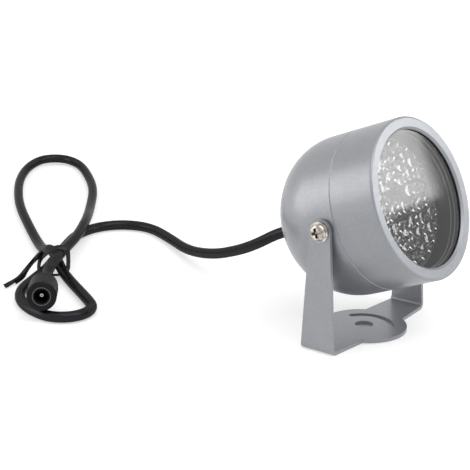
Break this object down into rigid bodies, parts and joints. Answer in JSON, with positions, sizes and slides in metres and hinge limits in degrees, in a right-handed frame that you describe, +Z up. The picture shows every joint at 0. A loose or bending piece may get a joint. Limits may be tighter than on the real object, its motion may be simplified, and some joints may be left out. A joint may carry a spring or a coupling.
{
  "type": "infrared illuminator",
  "caption": "Round infrared illuminator head that tilts in a folded sheet bracket, with a tied power lead and a round jack.",
  "frame": {"origin": "centre of the bracket's round base hole, on the bracket's lower face", "axes": "+Z up from the base, -Y the way the lamp looks seen from above, X along the tilt axis"},
  "size_m": [0.1974, 0.325, 0.0917],
  "materials": {
    "bracket_paint": "satin grey paint",
    "housing_paint": "satin grey metallic paint",
    "seal_rubber": "matt",
    "window_glass": "clear, polished",
    "sleeve_black": "satin",
    "board_dark": "dark solder mask",
    "light_clear": "clear moulded",
    "screw_nickel": "nickel plated",
    "board_screw_steel": "zinc plated",
    "chip_black": "matt",
    "capacitor_sleeve": "shrink sleeve",
    "diode_black": "matt",
    "wire_red": "PVC",
    "wire_black": "PVC",
    "cord_black": "satin PVC",
    "jack_black": "satin moulded PVC",
    "jack_metal": "plated",
    "tie_black": "coated wire"
  },
  "bodies": {
    "bracket": {"mounting_bracket": "bracket_paint", "power_cord": "cord_black", "jack_body": "jack_black", "jack_socket": "jack_metal", "jack_pin": "jack_metal", "twist_tie": "tie_black"},
    "head": {"rear_housing": "housing_paint", "front_barrel": "housing_paint", "seam_seal": "seal_rubber", "window_gasket": "seal_rubber", "window_glass": "window_glass", "spacer_sleeve": "sleeve_black", "light_board": "board_dark", "outer_lights": "light_clear", "middle_lights": "light_clear", "inner_lights": "light_clear", "centre_lights": "light_clear", "board_screws": "board_screw_steel", "resistor_bank": "chip_black", "smoothing_capacitor": "capacitor_sleeve", "polarity_diode": "diode_black", "strain_relief": "seal_rubber", "red_wire": "wire_red", "black_wire": "wire_black", "left_pivot_washer": "screw_nickel", "left_pivot_screw": "screw_nickel", "right_pivot_washer": "screw_nickel", "right_pivot_screw": "screw_nickel"}
  },
  "joints": [
    {"name": "head_tilt", "type": "hinge", "parent": "bracket", "child": "head", "pos_m": [0, 0, 0.0508], "axis": [1, 0, 0], "range_deg": [-37.5, 112.5], "deforming": ["power_cord"]}
  ]
}
